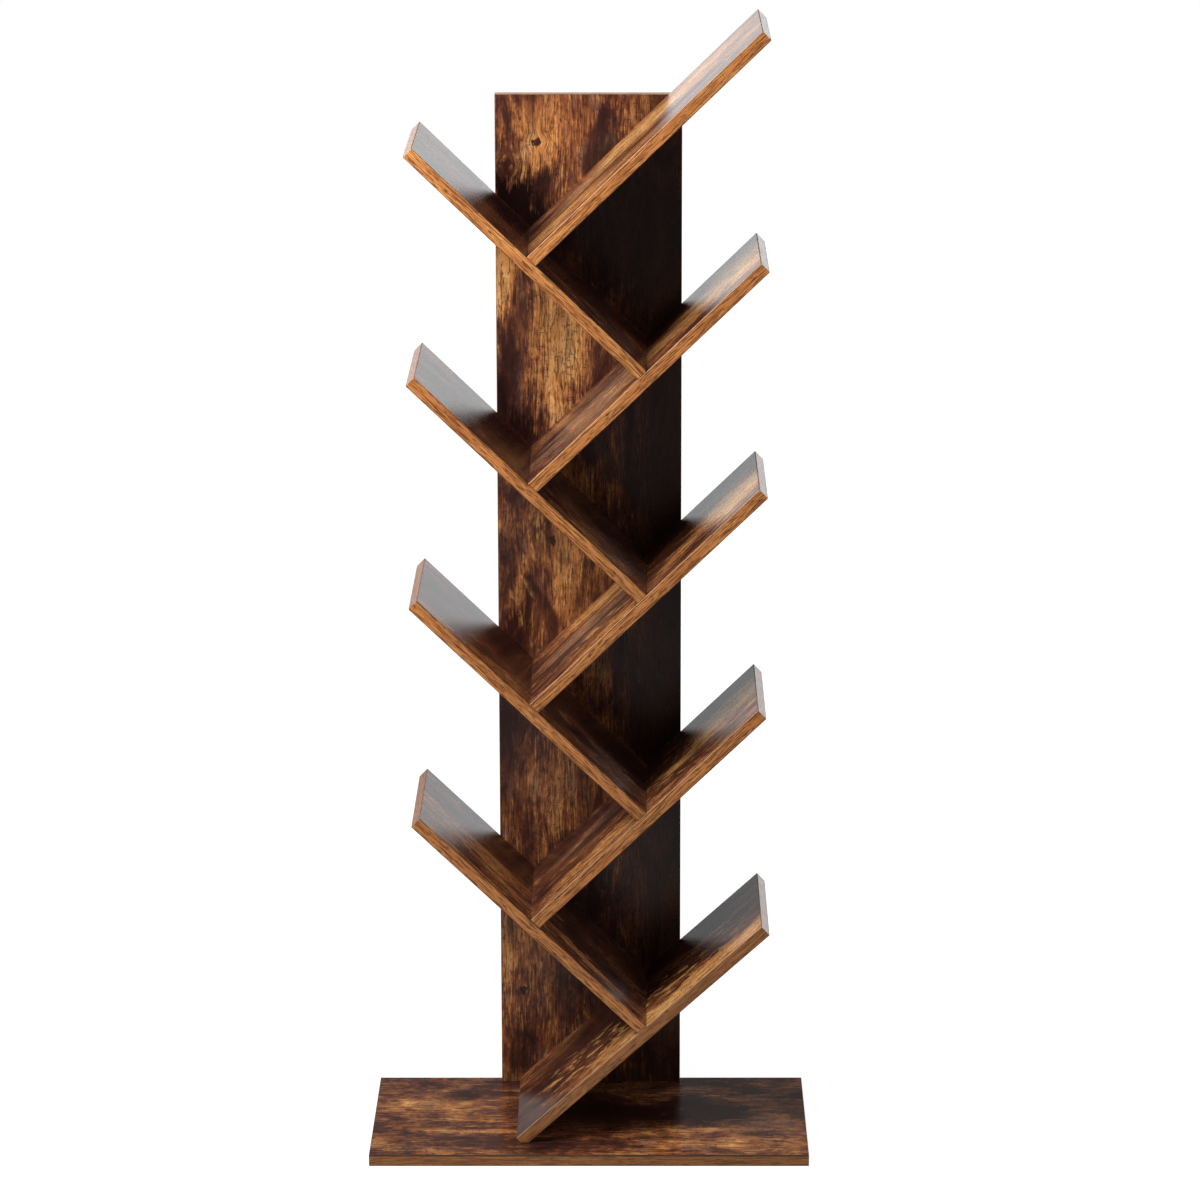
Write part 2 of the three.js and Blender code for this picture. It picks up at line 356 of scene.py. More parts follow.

# Where a grey painted sheen stands for reflections in the glossy face, and where the print shows
# short bright strokes
SHEEN_SPOTS = [
    ("shelf_left_1", -0.050, -0.030, 0.060, 0.050, 0.6),
    ("shelf_left_2", -0.050, -0.030, 0.060, 0.050, 0.8),
    ("shelf_left_3", -0.050, -0.030, 0.060, 0.050, 0.8),
    ("shelf_right_2", 0.100, 0.000, 0.100, 0.100, 1.1),
    ("shelf_right_1", 0.090, 0.040, 0.060, 0.050, 0.6),
    ("shelf_right_3", 0.110, 0.010, 0.100, 0.056, 0.8),
    ("shelf_right_4", 0.110, 0.040, 0.080, 0.045, 0.6),
    ("shelf_left_4", -0.045, -0.055, 0.050, 0.030, 0.5),
    ("base_board", 0.220, -0.030, 0.060, 0.060, 0.6),
]
SCRAPED_SPOTS = [
    ("shelf_right_5", 0.190, -0.020, 0.180, 0.060, 1.0),
    ("shelf_right_5", 0.220, -0.060, 0.100, 0.040, 1.0),
    ("shelf_right_2", 0.130, -0.020, 0.080, 0.060, 0.5),
    ("shelf_right_3", 0.120, -0.040, 0.080, 0.030, 0.6),
    ("shelf_right_4", 0.130, -0.050, 0.080, 0.030, 0.6),
    ("shelf_right_2", 0.350, 0.010, 0.080, 0.050, 0.6),
    ("shelf_right_3", 0.350, -0.030, 0.070, 0.030, 0.6),
    ("shelf_right_4", 0.340, 0.020, 0.080, 0.022, 0.7),
    ("shelf_right_5", 0.340, 0.010, 0.070, 0.030, 0.6),
    ("shelf_right_4", 0.260, -0.040, 0.080, 0.050, 0.5),
    ("back_panel", 0.690, -0.082, 0.060, 0.020, 0.7),
    ("back_panel", 0.790, -0.050, 0.060, 0.040, 0.5),
]

# The knots: a board, metres along its grain and across it, and the half length and half width
KNOTS = [
    ("back_panel", 1.250, -0.065, 0.0050, 0.0070),
    ("back_panel", 1.222, -0.101, 0.0075, 0.0085),
    ("back_panel", 0.141, -0.087, 0.0060, 0.0045),
    ("back_panel", 0.742, -0.047, 0.0060, 0.0045),
    ("back_panel", 1.320, -0.076, 0.0040, 0.0030),
    ("shelf_left_4", -0.118, -0.035, 0.0110, 0.0080),
    ("shelf_right_5", 0.330, -0.045, 0.0090, 0.0045),
    ("base_board", 0.190, 0.020, 0.0140, 0.0080),
]

# The corners' attribute that carries their places in the grain
GRAIN = "grain"
# How far the third number of a band's place moves on for each axis that the band may face
FACING_STEP = 0.37

# Between which distances from its middle an oval fades, where 1 is its rim, and between which a
# knot bends the grain
SPOT_FADE = (1.25, 0.35)
KNOT_FADE = (1.2, 0.7)
KNOT_REACH = (3.2, 0.4)

RINGS_PER_METRE = 200
BAND_RINGS_PER_METRE = 420


def finish_surface(tree, color, roughness, height, bump, metallic=0.0):
    relief = {"Strength": 1.0, "Distance": bump, "Height": height}
    normal = tree.node("ShaderNodeBump", None, relief)
    surface = tree.node("ShaderNodeBsdfPrincipled", None, {
        "Base Color": color, "Roughness": roughness, "Metallic": metallic, "Normal": normal,
    })
    tree.node("ShaderNodeOutputMaterial", None, {"Surface": surface})


def object_place(tree):
    return tree.node("ShaderNodeTexCoord", out=3)


def grain_place(tree):
    """Metres along the grain, across it, and the board's own place in the pattern."""
    return tree.parts(tree.node("ShaderNodeAttribute", {"attribute_name": GRAIN}, out=1))


def layer(tree, place, along, across, offset=0.0, **look):
    """Noise with that many waves to the metre along and across the grain."""
    u, v, w = place
    return tree.noise(tree.vector(u * along, v * across, w + offset), **look)


def up_to_board(tree, w, board, most=1.0):
    """most on this board and on those before it in the pattern, and 0 on the others."""
    half_way = GRAIN_SHIFTS[board][2] + 1
    return tree.smooth(w, half_way + 0.4, half_way, most)


def ring_wave(tree, phase):
    return tree.maths("SINE", phase * (2 * math.pi))


def painted(tree, color, *coats):
    """The colour under thin coats, each the share that it covers and its own colour."""
    for share, paint in coats:
        color = tree.mix(share, color, paint)
    return color


def oval_distance(tree, place, board, along, across, half_length, half_width):
    """0 in the middle of an oval on one board, and 1 on its rim."""
    shift = GRAIN_SHIFTS[board]
    scale = (1 / half_length, 1 / half_width, 0)
    centre = (-(along + shift[0]) / half_length, -(across + shift[1]) / half_width, 0)
    inside = tree.node(
        "ShaderNodeVectorMath", {"operation": "MULTIPLY_ADD"}, {0: place, 1: scale, 2: centre}
    )
    return tree.length(inside)


def spots(tree, place, ovals):
    """The strongest of many soft ovals."""
    total = None
    for *oval, strength in ovals:
        spot = tree.smooth(oval_distance(tree, place, *oval), *SPOT_FADE, strength)
        total = spot if total is None else tree.greater(total, spot)
    return total


def make_laminate():
    """Dark rustic wood print under a semi-gloss melamine face, with painted shade and sheen."""
    material, tree = new_material("rustic_laminate")
    straight = grain_place(tree)
    u, v, w = straight
    flat = tree.vector(u, v, w)

    # The grain wanders, and flows round the knots
    bend = layer(tree, straight, 5.0, 14.0, 3.1, detail=1.0) - 0.5
    ripple = layer(tree, straight, 24.0, 40.0, 7.7, detail=1.0) - 0.5
    mottle = layer(tree, straight, 70.0, 120.0, 19.0, detail=4.0, roughness=0.62) - 0.5
    ragged = layer(tree, straight, 190.0, 260.0, 61.0) - 0.5
    v_bent = v + bend * 0.016 + ripple * 0.005
    knot_cores = None
    for knot in KNOTS:
        board, _, across, _, _ = knot
        distance = oval_distance(tree, flat, *knot)
        near = tree.smooth(distance, *KNOT_REACH, 0.75)
        v_bent = v_bent + (across + GRAIN_SHIFTS[board][1] - v) * near
        core = tree.smooth(distance + mottle * 1.4 + ragged * 2.4, *KNOT_FADE)
        knot_cores = core if knot_cores is None else tree.greater(knot_cores, core)
    # The base's print is broader
    place = (u, v_bent * (1 - up_to_board(tree, w, "base_board", 0.5)), w)

    patches = layer(tree, place, 9.0, 24.0, detail=4.0, roughness=0.62, distortion=0.9) - 0.5
    broad = layer(tree, place, 2.4, 8.0, 11.0, detail=1.0) - 0.5
    bands = layer(tree, place, 6.0, 110.0, 17.0, detail=3.0, roughness=0.6) - 0.5
    streaks = layer(tree, place, 32.0, 520.0, 23.0, roughness=0.6)
    dashes = layer(tree, place, 130.0, 560.0, 31.0, detail=1.0)
    breaks = layer(tree, place, 26.0, 80.0, 37.0)
    smoke = layer(tree, straight, 10.0, 24.0, 47.0, detail=5.0, roughness=0.62, distortion=0.6)
    scrapes = layer(tree, (u, v + u * 0.30, w), 34.0, 74.0, 53.0)
    scrapes = scrapes + mottle * 0.16 + (streaks - 0.5) * 0.10
    creases = layer(tree, straight, 520.0, 130.0, 59.0)

    # The ovals' rims are frayed
    frayed_u = u + (patches * 0.10 + (streaks - 0.5) * 0.07 + mottle * 0.05)
    frayed_v = v + (smoke - 0.5) * 0.050 + bands * 0.016 + mottle * 0.018
    frayed = tree.vector(frayed_u, frayed_v, w)
    golden = spots(tree, frayed, GOLDEN_SPOTS)
    # Dark print and painted shade
    dark = spots(tree, frayed, DARK_AND_SHADED_SPOTS)
    # A painted sheen of reflections
    painted_sheen = spots(tree, frayed, SHEEN_SPOTS)
    scraped = spots(tree, frayed, SCRAPED_SPOTS)
    gilt = tree.lesser(golden, 1.0)

    # From dark to bright wood
    clouds = (patches * 1.20 + broad * 0.7) * (1 - gilt * 0.5)
    fine = mottle * 0.62 + (streaks - 0.5) * 0.34
    tone = 0.42 + clouds + bands * 0.42 + fine + golden * 0.24
    taupe_and_sheen = tree.smooth(breaks + patches * 0.6, 0.54, 0.74, 0.40)
    # Greyish print, and a painted sheen where the spots stand for reflections
    taupe_and_sheen = tree.greater(taupe_and_sheen, painted_sheen * (0.75 + patches))
    glints = tree.smooth(streaks, 0.55, 0.70, 0.42) * tree.smooth(tone, 0.35, 0.65)
    flames = tree.smooth(scrapes, 0.52, 0.64, 0.92) * scraped

    # Thin dark lines
    wave = ring_wave(tree, v_bent * RINGS_PER_METRE + patches * 2.4 + broad * 3.0)
    rings = tree.smooth(wave, 0.80, 1.0) * tree.smooth(breaks, 0.42, 0.56)
    hairs = tree.smooth(streaks, 0.46, 0.34)
    specks = tree.smooth(dashes, 0.57, 0.67)
    crossing = tree.smooth(creases, 0.55, 0.66) * tree.smooth(breaks, 0.44, 0.56)

    # Dark smoky print over all of it, with painted shade in the dark ovals; the deepest shade and
    # the knots' cores go near black
    smoky = smoke + mottle * 0.22 + (streaks - 0.5) * 0.10
    haze_and_shade = tree.smooth(smoky, 0.54, 0.64, 0.85) * (1 - gilt * 0.6)
    haze_and_shade = tree.greater(tree.greater(haze_and_shade, dark), knot_cores * 0.94)
    soot_and_shade_color = tree.mix(tree.smooth(patches, -0.10, 0.20), SOOT_AND_SHADE, WARM_SOOT_AND_SHADE)
    soot_and_shade_color = tree.mix(tree.smooth(haze_and_shade, 0.88, 1.03), soot_and_shade_color, DEEPEST_SOOT_AND_SHADE)

    color = painted(
        tree, tree.ramp(tone, LAMINATE_TONES),
        (taupe_and_sheen, TAUPE_AND_SHEEN),
        (glints, GLINT),
        (flames, FLAME),
        (rings * 0.66, RING),
        (hairs * 0.62, HAIR),
        (specks * 0.62, SPECK),
        (crossing * (0.34 + gilt * 0.30), CRACK),
        (haze_and_shade, soot_and_shade_color),
    )
    grooves = rings + hairs + specks
    roughness = SEMI_GLOSS + grooves * 0.02 + (smoke - 0.5) * 0.04
    finish_surface(tree, color, roughness, height=grooves * -0.5, bump=0.0000025)
    return material


def make_edge_band():
    """The lighter wood print of the bands glued round the boards' edges, with a painted highlight.
    """
    material, tree = new_material("edge_band")
    straight = grain_place(tree)
    u, v, w = straight
    bend = layer(tree, straight, 6.0, 60.0, 1.3, detail=1.0) - 0.5
    place = (u, v + bend * 0.004, w)
    bands = layer(tree, place, 8.0, 150.0, detail=3.0, roughness=0.6) - 0.5
    lines = layer(tree, place, 42.0, 800.0, 5.0, roughness=0.6)
    blotches = layer(tree, place, 30.0, 90.0, 9.0, detail=3.0) - 0.5
    flecks = layer(tree, place, 90.0, 620.0, 13.0, detail=1.0)
    tone = 0.55 + bands * 0.9 + blotches * 0.5

    wave = ring_wave(tree, (v + bend * 0.003) * BAND_RINGS_PER_METRE + bands * 2.0)
    rings = tree.smooth(wave, 0.45, 0.95) * tree.smooth(blotches, -0.18, 0.04)
    dark = tree.smooth(lines, 0.48, 0.58)
    border = tree.smooth(tree.maths("ABSOLUTE", v), 0.0060, 0.0069)

    # The base's band ends in a dark seam, and the bands on the boards' ends are greyer
    on_base = up_to_board(tree, w, "base_board")
    seam = tree.smooth(v, 0.0048, 0.0062, 0.75) * on_base
    ends = tree.smooth(tree.maths("FRACT", w + 0.05), 0.20, 0.10, 0.60)

    # A painted highlight on the upper edge of the right shelves' front bands, where a quarter of
    # the third number has a fraction of about 0.34; these rounded edges face the key light
    turn = tree.maths("FRACT", w * 0.25)
    right_front = tree.smooth(turn, 0.28, 0.32) * tree.smooth(turn, 0.60, 0.50) * (1 - on_base)
    painted_edge_highlight = tree.smooth(v, 0.0068, 0.0071, 0.50) * right_front

    color = painted(
        tree, tree.ramp(tone, BAND_TONES),
        (rings * 0.62, BAND_RING),
        (dark * 0.76, BAND_LINE),
        (tree.smooth(flecks, 0.60, 0.72) * 0.75, BAND_DOT),
        (border * 0.40, BAND_BORDER),
        (up_to_board(tree, w, "shelf_right_5", 0.45), LOW_BAND),
        (seam, BASE_SEAM),
        (ends, END_BAND),
        (painted_edge_highlight, LIT_EDGE),
    )
    roughness = SEMI_GLOSS + dark * 0.06 + border * 0.32
    finish_surface(tree, color, roughness, height=dark * -1.0, bump=0.000003)
    return material


def make_chipboard():
    """Raw wood chips where a board is sawn or drilled."""
    chips_per_metre = 700.0
    roughness = 0.85
    material, tree = new_material("raw_chipboard")
    sockets = {"Vector": object_place(tree), "Scale": chips_per_metre}
    tone = tree.parts(tree.node("ShaderNodeTexVoronoi", None, sockets, out=1))[0]
    color = tree.ramp(tone, [
        (0.0, rgb(122, 88, 56)),
        (0.5, rgb(176, 138, 92)),
        (1.0, rgb(206, 174, 128)),
    ])
    finish_surface(tree, color, roughness, height=tone, bump=0.0003)
    return material


def make_steel():
    """Zinc plated steel, a little scuffed."""
    material, tree = new_material("zinc_plated_steel")
    place = object_place(tree)
    grains = tree.noise(place, scale=900.0, detail=3.0)
    clouds = tree.noise(place, scale=160.0)
    color = tree.ramp(clouds, [(0.3, rgb(150, 152, 156)), (0.7, rgb(198, 200, 203))])
    roughness = 0.26 + grains * 0.22
    finish_surface(tree, color, roughness, height=grains, bump=0.00004, metallic=1.0)
    return material


def make_beech():
    """Pale beech with its short dark flecks."""
    roughness = 0.62
    material, tree = new_material("beech_dowel")
    flecks = tree.noise(object_place(tree), scale=850.0)
    color = tree.ramp(flecks, [(0.35, rgb(178, 134, 90)), (0.6, rgb(214, 178, 132))])
    finish_surface(tree, color, roughness, height=flecks, bump=0.00008)
    return material


laminate = make_laminate()
edge_band = make_edge_band()
chipboard = make_chipboard()
steel = make_steel()
beech = make_beech()
BOARD_MATERIALS = (laminate, edge_band, chipboard)
FACE, BAND, RAW = range(3)

# A face belongs to a side of the board where its normal is this near to the side's
NEARLY_ALIGNED = 0.95
# How fast the print changes from one face of a board to the other
DEPTH_IN_PRINT = 3


def add_object(name, data):
    made = bpy.data.objects.new(name, data)
    bpy.context.collection.objects.link(made)
    return made


def mesh_data(mesh, name):
    """The mesh as Blender's own data."""
    data = bpy.data.meshes.new(name)
    mesh.to_mesh(data)
    mesh.free()
    return data


def lathe(profile, sides):
    """A closed mesh round +Z from its profile of (radius, height), from the axis to the axis."""
    mesh = bmesh.new()
    rings = []
    for radius, height in profile:
        if radius == 0:
            rings.append([mesh.verts.new((0, 0, height))])
        else:
            turns = [2 * math.pi * k / sides for k in range(sides)]
            rings.append([
                mesh.verts.new((radius * math.cos(t), radius * math.sin(t), height)) for t in turns
            ])
    for lower, upper in zip(rings, rings[1:]):
        for k in range(sides):
            after = (k + 1) % sides
            corners = [lower[k % len(lower)], lower[after % len(lower)],
                       upper[after % len(upper)], upper[k % len(upper)]]
            mesh.faces.new(list(dict.fromkeys(corners)))
    bmesh.ops.recalc_face_normals(mesh, faces=mesh.faces)
    return mesh


# The sizes of the countersunk screws, from the face that they are sunk in
CONNECTOR = {
    "Sink": 0.0005, "Length": 0.050, "Head radius": 0.004, "Head height": 0.0025,
    "Neck radius": 0.0028, "Neck length": 0.015, "Thread radius": 0.0024, "Core radius": 0.0018,
    "Pitch": 0.003, "Tip length": 0.003, "Drive radius": 0.0023, "Drive depth": 0.0022,
    "Cross drive": False,
}
FOOT_SCREW = {
    "Sink": 0.0005, "Length": 0.025, "Head radius": 0.0036, "Head height": 0.0022,
    "Neck radius": 0.00175, "Neck length": 0.012, "Thread radius": 0.0016, "Core radius": 0.0012,
    "Pitch": 0.0018, "Tip length": 0.004, "Drive radius": 0.0021, "Drive depth": 0.0016,
    "Cross drive": True,
}
DOWEL = {
    "Length": 0.030, "Radius": 0.003, "Chamfer": 0.0006, "Flutes": 20, "Flute depth": 0.00025,
}


def screw_hole(size):
    """The profile of a screw's hole, from above the face to just past the tip."""
    above = -0.002
    mouth = size["Head radius"] + HOLE_CLEARANCE
    neck = size["Neck radius"] + HOLE_CLEARANCE
    bore = size["Thread radius"] + HOLE_CLEARANCE
    sink = size["Sink"]
    neck_end = sink + size["Neck length"]
    return [
        (0, above),
        (mouth, above),
        (mouth, sink),
        (neck, sink + size["Head height"]),
        (neck, neck_end),
        (bore, neck_end + HOLE_CLEARANCE),
        (bore, size["Length"] - size["Tip length"] + HOLE_CLEARANCE),
        (0, size["Length"] + HOLE_CLEARANCE),
    ]


def dowel_hole(size):
    radius = size["Radius"] + HOLE_CLEARANCE
    end = size["Length"] + HOLE_CLEARANCE
    return [(0, -HOLE_CLEARANCE), (radius, -HOLE_CLEARANCE), (radius, end), (0, end)]


HOLE_PROFILES = {
    "connector": screw_hole(CONNECTOR),
    "foot_screw": screw_hole(FOOT_SCREW),
    "dowel": dowel_hole(DOWEL),
}
HOLE_SIDES = 24

fasteners = []


def add_fastener(kind, node, start, direction, boards):
    fasteners.append({
        "kind": kind, "node": node, "start": Vector(start),
        "direction": Vector(direction).normalized(), "boards": boards,
    })


boards = []


def add_board(name, placing, outline, front, back, thickness_axis, grain_axes, raw_normals=()):
    """A board to be made from its outline (along, above), which runs from its front to its back."""
    boards.append({
        "name": name, "placing": placing, "outline": outline, "front": front, "back": back,
        "thickness_axis": thickness_axis, "grain_axes": grain_axes, "raw_normals": raw_normals,
    })


def prism(outline, front, back):
    mesh = bmesh.new()
    near = [mesh.verts.new((x, front, z)) for x, z in outline]
    far = [mesh.verts.new((x, back, z)) for x, z in outline]
    mesh.faces.new(near)
    mesh.faces.new(far[::-1])
    for k in range(len(outline)):
        after = (k + 1) % len(outline)
        mesh.faces.new((near[k], far[k], far[after], near[after]))
    bmesh.ops.recalc_face_normals(mesh, faces=mesh.faces)
    return mesh


def board_data(mesh, name):
    data = mesh_data(mesh, name)
    for material in BOARD_MATERIALS:
        data.materials.append(material)
    return data


def hole_cutters(board):
    """One mesh of every hole in a board, where the holes are in the bookshelf."""
    together = bmesh.new()
    for fastener in fasteners:
        if board["name"] in fastener["boards"]:
            shape = lathe(HOLE_PROFILES[fastener["kind"]], HOLE_SIDES)
            turn = fastener["direction"].to_track_quat("Z", "Y").to_matrix().to_4x4()
            shape.transform(Matrix.Translation(fastener["start"]) @ turn)
            hole = mesh_data(shape, "hole")
            together.from_mesh(hole)
            bpy.data.meshes.remove(hole)
    for face in together.faces:
        face.material_index = RAW
    return board_data(together, board["name"] + "_holes")


def evaluated_mesh(piece):
    bpy.context.view_layer.update()
    graph = bpy.context.evaluated_depsgraph_get()
    return bpy.data.meshes.new_from_object(piece.evaluated_get(graph))


def dress_faces(mesh, board):
    """Gives each face its finish, and each corner its place in the grain."""
    into_board = board["placing"].inverted()
    turn = into_board.to_3x3()
    flat = board["thickness_axis"]
    grain, across = board["grain_axes"]
    sides = [axis for axis in range(3) if axis != flat]
    low = min((into_board @ vertex.co)[flat] for vertex in mesh.vertices)
    middle = low + BOARD / 2
    shift = Vector(GRAIN_SHIFTS[board["name"]])
    band_shift = Vector((shift.x, 0, shift.z))
    places = mesh.attributes.new(GRAIN, "FLOAT_VECTOR", "CORNER")
    for face in mesh.polygons:
        normal = turn @ face.normal
        if face.material_index != RAW:
            face.material_index = FACE if abs(normal[flat]) > NEARLY_ALIGNED else BAND
            if any(normal.dot(raw) > NEARLY_ALIGNED for raw in board["raw_normals"]):
                face.material_index = RAW
        facing = max(sides, key=lambda axis: abs(normal[axis]))
        along_band = sum(sides) - facing
        for corner in face.loop_indices:
            point = into_board @ mesh.vertices[mesh.loops[corner].vertex_index].co
            if face.material_index == BAND:
                place = Vector((point[along_band], point[flat] - middle, FACING_STEP * facing))
                places.data[corner].vector = place + band_shift
            else:
                place = Vector((point[grain], point[across], point[flat] * DEPTH_IN_PRINT))
                places.data[corner].vector = place + shift


def make_board(board):
    name = board["name"]
    mesh = prism(board["outline"], board["front"], board["back"])
    bmesh.ops.bevel(
        mesh, geom=list(mesh.edges), offset=EDGE_ROUNDING, segments=2, profile=0.5,
        affect="EDGES", clamp_overlap=True,
    )
    mesh.transform(board["placing"])
    whole = board_data(mesh, name + "_finished")
    piece = add_object(name + "_finished", whole)
    cutter = add_object(name + "_holes", hole_cutters(board))
    drill = piece.modifiers.new("holes", "BOOLEAN")
    drill.operation = "DIFFERENCE"
    drill.solver = "EXACT"
    drill.object = cutter
    drilled = evaluated_mesh(piece)
    piece.modifiers.remove(drill)
    piece.data = drilled
    bpy.data.objects.remove(cutter)
    bpy.data.meshes.remove(whole)
    dress_faces(piece.data, board)
    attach(piece, "root")
    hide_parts(name)


# The zigzag, from the bottom shelf up. A shelf's own axes have their origin on its upper face, at
# its lower end, and X along it.
def shelf_placing(side, angle, corner):
    return Matrix.Translation((corner[0], 0, corner[1])) @ Matrix.Rotation(-side * angle, 4, "Y")


def add_shelf(name, side, angle, corner, outline, sawn):
    """A shelf with its two panel screws. side is 1 where it rises to the right, else -1."""
    placing = shelf_placing(side, angle, corner)
    mirrored = [(side * along, above) for along, above in outline]
    raw = Vector((side * sawn[0], sawn[1], sawn[2]))
    add_board(name, placing, mirrored, SHELF_FRONT, PANEL_FRONT, 2, (0, 1), [raw])
    for place, along in PANEL_SCREWS.items():
        start = placing @ Vector((side * along, 0, -BOARD / 2))
        node = "panel_screw_" + name.replace("shelf_", "") + "_" + place
        start = (start.x, PANEL_BACK, start.z)
        add_fastener("connector", node, start, (0, -1, 0), ["back_panel", name])
    return {"name": name, "side": side, "angle": angle, "corner": corner, "placing": placing}


def join_to_shelf_below(upper, lower):
    """The screw and the dowel that go through the lower shelf into the upper one's end."""
    along = abs(upper["corner"][0] - lower["corner"][0]) / math.cos(lower["angle"])
    middle = along - BOARD / 2 / math.sin(upper["angle"] + lower["angle"])
    x = lower["side"] * middle
    label = upper["name"].replace("shelf_", "")
    placing = lower["placing"]
    joined = [lower["name"], upper["name"]]
    direction = placing.to_3x3() @ Vector((0, 0, 1))
    screw = placing @ Vector((x, SHELF_FRONT + JOINT_SCREW_FROM_FRONT, -BOARD))
    add_fastener("connector", "joint_screw_" + label, screw, direction, joined)
    dowel = placing @ Vector((x, PANEL_FRONT - JOINT_DOWEL_FROM_BACK, -DOWEL_IN_FACE))
    add_fastener("dowel", "joint_dowel_" + label, dowel, direction, joined)


def rectangle(width, low, high):
    return [(-width / 2, low), (width / 2, low), (width / 2, high), (-width / 2, high)]


bottom_corner = (
    -FOOT_OFFSET - BOARD * math.sin(BOTTOM_ANGLE),
    BOARD + SEAM + BOARD * math.cos(BOTTOM_ANGLE),
)
heel_drop = BOARD - HEEL * math.tan(BOTTOM_ANGLE)
bottom_outline = [
    (-HEEL, 0),
    (-HEEL, -heel_drop),
    (0, -BOARD),
    (BOTTOM_SHELF_LENGTH - HEEL, -BOARD),
    (BOTTOM_SHELF_LENGTH - HEEL, 0),
]
level_cut = (-math.sin(BOTTOM_ANGLE), 0, -math.cos(BOTTOM_ANGLE))
lower = add_shelf("shelf_right_5", 1, BOTTOM_ANGLE, bottom_corner, bottom_outline, level_cut)

corner_height = bottom_corner[1] + (CORNER_OFFSET - bottom_corner[0]) * math.tan(BOTTOM_ANGLE)
corner_rise = 2 * CORNER_OFFSET * math.tan(SHELF_ANGLE)
for number in (4, 3, 2, 1):
    for label, side in (("left", -1), ("right", 1)):
        meeting = SHELF_ANGLE + lower["angle"]
        gap = SEAM / math.sin(meeting)
        outline = [
            (gap, 0),
            (gap + BOARD / math.tan(meeting), -BOARD),
            (SHELF_LENGTH, -BOARD),
            (SHELF_LENGTH, 0),
        ]
        sawn = (-math.sin(meeting), 0, -math.cos(meeting))
        corner = (-side * CORNER_OFFSET, corner_height)
        upper = add_shelf(f"shelf_{label}_{number}", side, SHELF_ANGLE, corner, outline, sawn)
        join_to_shelf_below(upper, lower)
        corner_height += corner_rise
        lower = upper

top_screw_height = lower["corner"][1] + PANEL_SCREWS["high"] * math.sin(SHELF_ANGLE)
top_screw_height -= BOARD / 2 * math.cos(SHELF_ANGLE)
panel_outline = rectangle(PANEL_WIDTH, BOARD, top_screw_height + PANEL_ABOVE_TOP_SCREW)
base_outline = rectangle(BASE_WIDTH, 0, BOARD)
upright = Matrix.Identity(4)
add_board("back_panel", upright, panel_outline, PANEL_FRONT, PANEL_BACK, 1, (2, 0))
add_board("base_board", upright, base_outline, -BASE_DEPTH / 2, BASE_DEPTH / 2, 2, (0, 1))

UP = (0, 0, 1)
panel_middle = PANEL_FRONT + BOARD / 2
for label, side in (("left", -1), ("right", 1)):
    joined = ["base_board", "back_panel"]
    screw = (side * BASE_SCREW_SPACING / 2, panel_middle, 0)
    add_fastener("connector", "base_screw_" + label, screw, UP, joined)
    dowel = (side * BASE_DOWEL_SPACING / 2, panel_middle, BOARD - DOWEL_IN_FACE)
    add_fastener("dowel", "base_dowel_" + label, dowel, UP, joined)
foot_x = -FOOT_OFFSET - HEEL / math.cos(BOTTOM_ANGLE) / 2
foot_places = {
    "front": SHELF_FRONT + JOINT_SCREW_FROM_FRONT,
    "back": PANEL_FRONT - JOINT_DOWEL_FROM_BACK,
}
for place, y in foot_places.items():
    joined = ["base_board", "shelf_right_5"]
    add_fastener("foot_screw", "foot_screw_" + place, (foot_x, y, 0), UP, joined)

for board in boards:
    make_board(board)


ROUND_SIDES = 32
THREAD_STEPS = 24
ROLL_SEED = 4

# Shares of a screw's own sizes
THREAD_END = 0.05
TIP_END = 0.3
SLOT_WIDTH = 0.45


def geometry_tree(name, sizes):
    """A Geometry Nodes tree that takes places, a material and the named sizes."""
    group = bpy.data.node_groups.new(name, "GeometryNodeTree")
    kinds = {bool: "NodeSocketBool", int: "NodeSocketInt", float: "NodeSocketFloat"}
    wanted = {"Places": "NodeSocketGeometry", "Material": "NodeSocketMaterial"}
    wanted.update({label: kinds[type(value)] for label, value in sizes.items()})
    identifiers = {}
    for label, kind in wanted.items():
        socket = group.interface.new_socket(name=label, in_out="INPUT", socket_type=kind)
        identifiers[label] = socket.identifier
    group.interface.new_socket(name="Shapes", in_out="OUTPUT", socket_type="NodeSocketGeometry")
    tree = Tree(group)
    entry = group.nodes.new("NodeGroupInput")
    given = {label: Signal(tree, entry.outputs[label]) for label in wanted}
    return tree, given, identifiers


def lifted(tree, shape, height):
    move = tree.vector(0, 0, height)
    return tree.node("GeometryNodeTransform", None, {0: shape, "Translation": move})


def boolean(tree, operation, sockets):
    settings = {"operation": operation, "solver": "EXACT"}
    return tree.node("GeometryNodeMeshBoolean", settings, sockets)


def cone(tree, bottom, top, low, high, sides=ROUND_SIDES):
    """A closed cone or prism round the axis, from one height to another."""
    shape = tree.node("GeometryNodeMeshCone", None, {
        "Vertices": sides, "Radius Bottom": bottom, "Radius Top": top, "Depth": high - low,
    })
    return lifted(tree, shape, low)


def block(tree, width, depth, low, high):
    """A box round the axis, from one height to another."""
    size = tree.vector(width, depth, high - low)
    shape = tree.node("GeometryNodeMeshCube", None, {"Size": size})
    return lifted(tree, shape, (low + high) * 0.5)


